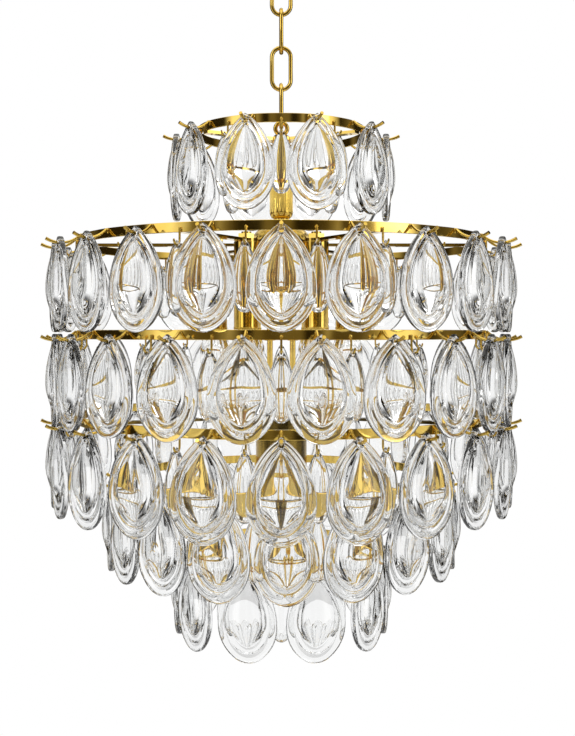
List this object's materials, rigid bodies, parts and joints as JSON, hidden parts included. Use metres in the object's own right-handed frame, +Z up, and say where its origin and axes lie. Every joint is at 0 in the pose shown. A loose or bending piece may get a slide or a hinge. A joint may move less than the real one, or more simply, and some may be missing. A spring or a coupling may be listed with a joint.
{
  "type": "glass drop chandelier",
  "caption": "Tiered ceiling chandelier: brass rings with wire hooks carry large and small pressed glass drops round a brass column with lamps, hung from a short link chain and a ceiling eye.",
  "frame": {"origin": "centre of the ceiling eye's shank where it meets the ceiling face", "axes": "+Z up along the shank, -Y towards the viewer of the picture, +X to the viewer's right"},
  "size_m": [0.4994, 0.4994, 0.7418],
  "materials": {
    "brass": "polished",
    "drop_glass": "pressed, clear",
    "bulb_glass": "clear",
    "white_plastic": "smooth white",
    "nickel": "plated"
  },
  "bodies": {
    "ceiling": {"ceiling_eye": "brass"},
    "link_1": {"chain_link_1": "brass"},
    "link_2": {"chain_link_2": "brass"},
    "link_3": {"chain_link_3": "brass"},
    "link_4": {"chain_link_4": "brass"},
    "frame": {"hanging_eye": "brass", "central_tube": "brass", "column": "brass", "hub_dome": "brass", "tube_nut": "brass", "tie_rods": "brass", "rod_nuts": "brass", "lower_drum": "brass", "finial": "brass", "lamp_sleeves": "brass", "lamp_pipes": "brass", "lamp_nuts": "brass", "ring_1": "brass", "ring_2": "brass", "ring_3": "brass", "ring_4": "brass", "ring_5": "brass", "ring_6": "brass", "spider_1": "brass", "spider_2": "brass", "spider_3": "brass", "spider_4": "brass", "spider_5": "brass", "spider_6": "brass", "hooks_1": "brass", "hooks_2": "brass", "hooks_3": "brass", "hooks_4": "brass", "hooks_5": "brass", "hooks_6": "brass", "large_drops_1": "drop_glass", "large_drops_2": "drop_glass", "large_drops_3": "drop_glass", "large_drops_4": "drop_glass", "large_drops_5": "drop_glass", "small_drops_1": "drop_glass", "small_drops_2": "drop_glass", "small_drops_3": "drop_glass", "small_drops_4": "drop_glass", "small_drops_5": "drop_glass", "small_drops_6": "drop_glass", "terminal_block": "white_plastic", "lamp_sockets": "white_plastic", "bulb_caps": "nickel", "bulbs": "bulb_glass"},
    "drop_1": {"low_drop_1": "drop_glass"},
    "drop_2": {"low_drop_2": "drop_glass"},
    "drop_3": {"low_drop_3": "drop_glass"},
    "drop_4": {"low_drop_4": "drop_glass"},
    "drop_5": {"low_drop_5": "drop_glass"},
    "drop_6": {"low_drop_6": "drop_glass"},
    "drop_7": {"low_drop_7": "drop_glass"},
    "drop_8": {"low_drop_8": "drop_glass"},
    "drop_9": {"low_drop_9": "drop_glass"},
    "drop_10": {"low_drop_10": "drop_glass"}
  },
  "joints": [
    {"name": "link_1_swing", "type": "hinge", "parent": "ceiling", "child": "link_1", "pos_m": [0, 0, -0.02275], "axis": [0, 1, 0], "range_deg": [-25, 25]},
    {"name": "link_2_swing", "type": "hinge", "parent": "link_1", "child": "link_2", "pos_m": [0, 0, -0.06195], "axis": [1, 0, 0], "range_deg": [-25, 25]},
    {"name": "link_3_swing", "type": "hinge", "parent": "link_2", "child": "link_3", "pos_m": [0, 0, -0.10165], "axis": [0, 1, 0], "range_deg": [-25, 25]},
    {"name": "link_4_swing", "type": "hinge", "parent": "link_3", "child": "link_4", "pos_m": [0, 0, -0.14135], "axis": [1, 0, 0], "range_deg": [-25, 25]},
    {"name": "frame_swing", "type": "hinge", "parent": "link_4", "child": "frame", "pos_m": [0, 0, -0.18105], "axis": [0, 1, 0], "range_deg": [-15, 15]},
    {"name": "low_drop_1_swing", "type": "hinge", "parent": "frame", "child": "drop_1", "pos_m": [0.03306, -0.10176, -0.6308], "axis": [0.309, -0.9511, 0], "range_deg": [-4, 4]},
    {"name": "low_drop_2_swing", "type": "hinge", "parent": "frame", "child": "drop_2", "pos_m": [0.08657, -0.06289, -0.6308], "axis": [0.809, -0.5878, 0], "range_deg": [-4, 4]},
    {"name": "low_drop_3_swing", "type": "hinge", "parent": "frame", "child": "drop_3", "pos_m": [0.107, 0, -0.6308], "axis": [1, 0, 0], "range_deg": [-4, 4]},
    {"name": "low_drop_4_swing", "type": "hinge", "parent": "frame", "child": "drop_4", "pos_m": [0.08657, 0.06289, -0.6308], "axis": [0.809, 0.5878, 0], "range_deg": [-4, 4]},
    {"name": "low_drop_5_swing", "type": "hinge", "parent": "frame", "child": "drop_5", "pos_m": [0.03306, 0.10176, -0.6308], "axis": [0.309, 0.9511, 0], "range_deg": [-4, 4]},
    {"name": "low_drop_6_swing", "type": "hinge", "parent": "frame", "child": "drop_6", "pos_m": [-0.03306, 0.10176, -0.6308], "axis": [-0.309, 0.9511, 0], "range_deg": [-4, 4]},
    {"name": "low_drop_7_swing", "type": "hinge", "parent": "frame", "child": "drop_7", "pos_m": [-0.08657, 0.06289, -0.6308], "axis": [-0.809, 0.5878, 0], "range_deg": [-4, 4]},
    {"name": "low_drop_8_swing", "type": "hinge", "parent": "frame", "child": "drop_8", "pos_m": [-0.107, 0, -0.6308], "axis": [-1, 0, 0], "range_deg": [-4, 4]},
    {"name": "low_drop_9_swing", "type": "hinge", "parent": "frame", "child": "drop_9", "pos_m": [-0.08657, -0.06289, -0.6308], "axis": [-0.809, -0.5878, 0], "range_deg": [-4, 4]},
    {"name": "low_drop_10_swing", "type": "hinge", "parent": "frame", "child": "drop_10", "pos_m": [-0.03306, -0.10176, -0.6308], "axis": [-0.309, -0.9511, 0], "range_deg": [-4, 4]}
  ]
}
